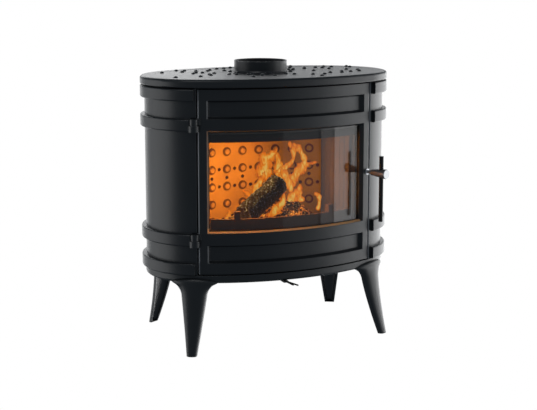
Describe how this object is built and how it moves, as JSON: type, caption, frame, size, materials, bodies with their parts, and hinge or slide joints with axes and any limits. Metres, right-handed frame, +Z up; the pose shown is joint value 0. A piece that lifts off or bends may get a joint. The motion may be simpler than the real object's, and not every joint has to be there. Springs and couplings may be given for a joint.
{
  "type": "oval wood stove",
  "caption": "Oval cast-iron wood stove on four splayed legs, with a curved glass door on stepped barrel hinges, a swinging bar handle, a flue collar and an air slide under the front lip",
  "frame": {"origin": "on the floor under the middle of the oval body", "axes": "+Z up, the door faces -Y, +X is the viewer's right when facing the door"},
  "size_m": [0.722, 0.4351, 0.7735],
  "materials": {
    "iron": "satin charcoal stove paint over fine sand-cast grain",
    "bare_iron": "unpainted heat-darkened casting",
    "fasteners": "plain turned steel, dulled by heat",
    "charred_wood": "charred split log",
    "embers": null,
    "pan_steel": "dull black sheet steel",
    "seal": "braided glass-fibre packing",
    "glass": "curved heat-resistant glass with a faint amber tint",
    "handle_steel": "brushed, turned",
    "handle_black": "smooth black enamel"
  },
  "bodies": {
    "root": {"base_plate": "iron", "leg_front_left": "iron", "leg_front_right": "iron", "leg_rear_left": "iron", "leg_rear_right": "iron", "leg_bolts": "fasteners", "side_left": "iron", "side_right": "iron", "back_panel": "iron", "front_frame": "bare_iron", "top_plate": "iron", "flue_collar": "iron", "collar_bolts": "fasteners", "tie_rods": "fasteners", "fire_back": "bare_iron", "liner_left": "bare_iron", "liner_right": "bare_iron", "baffle_plate": "bare_iron", "hearth_plate": "bare_iron", "fire_grate": "bare_iron", "log_retainer": "bare_iron", "firewood_log": "charred_wood", "ember_bed": "embers", "ash_pan": "pan_steel", "air_slide_guides": "bare_iron", "hinge_pins": "fasteners", "hinge_washers": "fasteners", "latch_keeper": "fasteners"},
    "door": {"door_frame": "iron", "glass_gasket": "seal", "door_glass": "glass", "glass_clamps": "bare_iron", "clamp_screws": "fasteners", "door_seal": "seal"},
    "handle": {"handle_stem": "handle_steel", "handle_bar": "handle_black", "handle_cap": "handle_steel", "latch_tongue": "fasteners", "latch_nut": "fasteners"},
    "slide": {"air_slide": "bare_iron"}
  },
  "joints": [
    {"name": "door_swing", "type": "hinge", "parent": "root", "child": "door", "pos_m": [-0.26585, -0.1498, 0.464], "axis": [0, 0, -1], "range_deg": [0, 110]},
    {"name": "handle_turn", "type": "hinge", "parent": "door", "child": "handle", "pos_m": [0.24578, -0.15035, 0.466], "axis": [0.4096, -0.9123, 0], "range_deg": [0, 90]},
    {"name": "air_slide_travel", "type": "slide", "parent": "root", "child": "slide", "axis": [1, 0, 0], "range_m": [0, 0.021]}
  ]
}
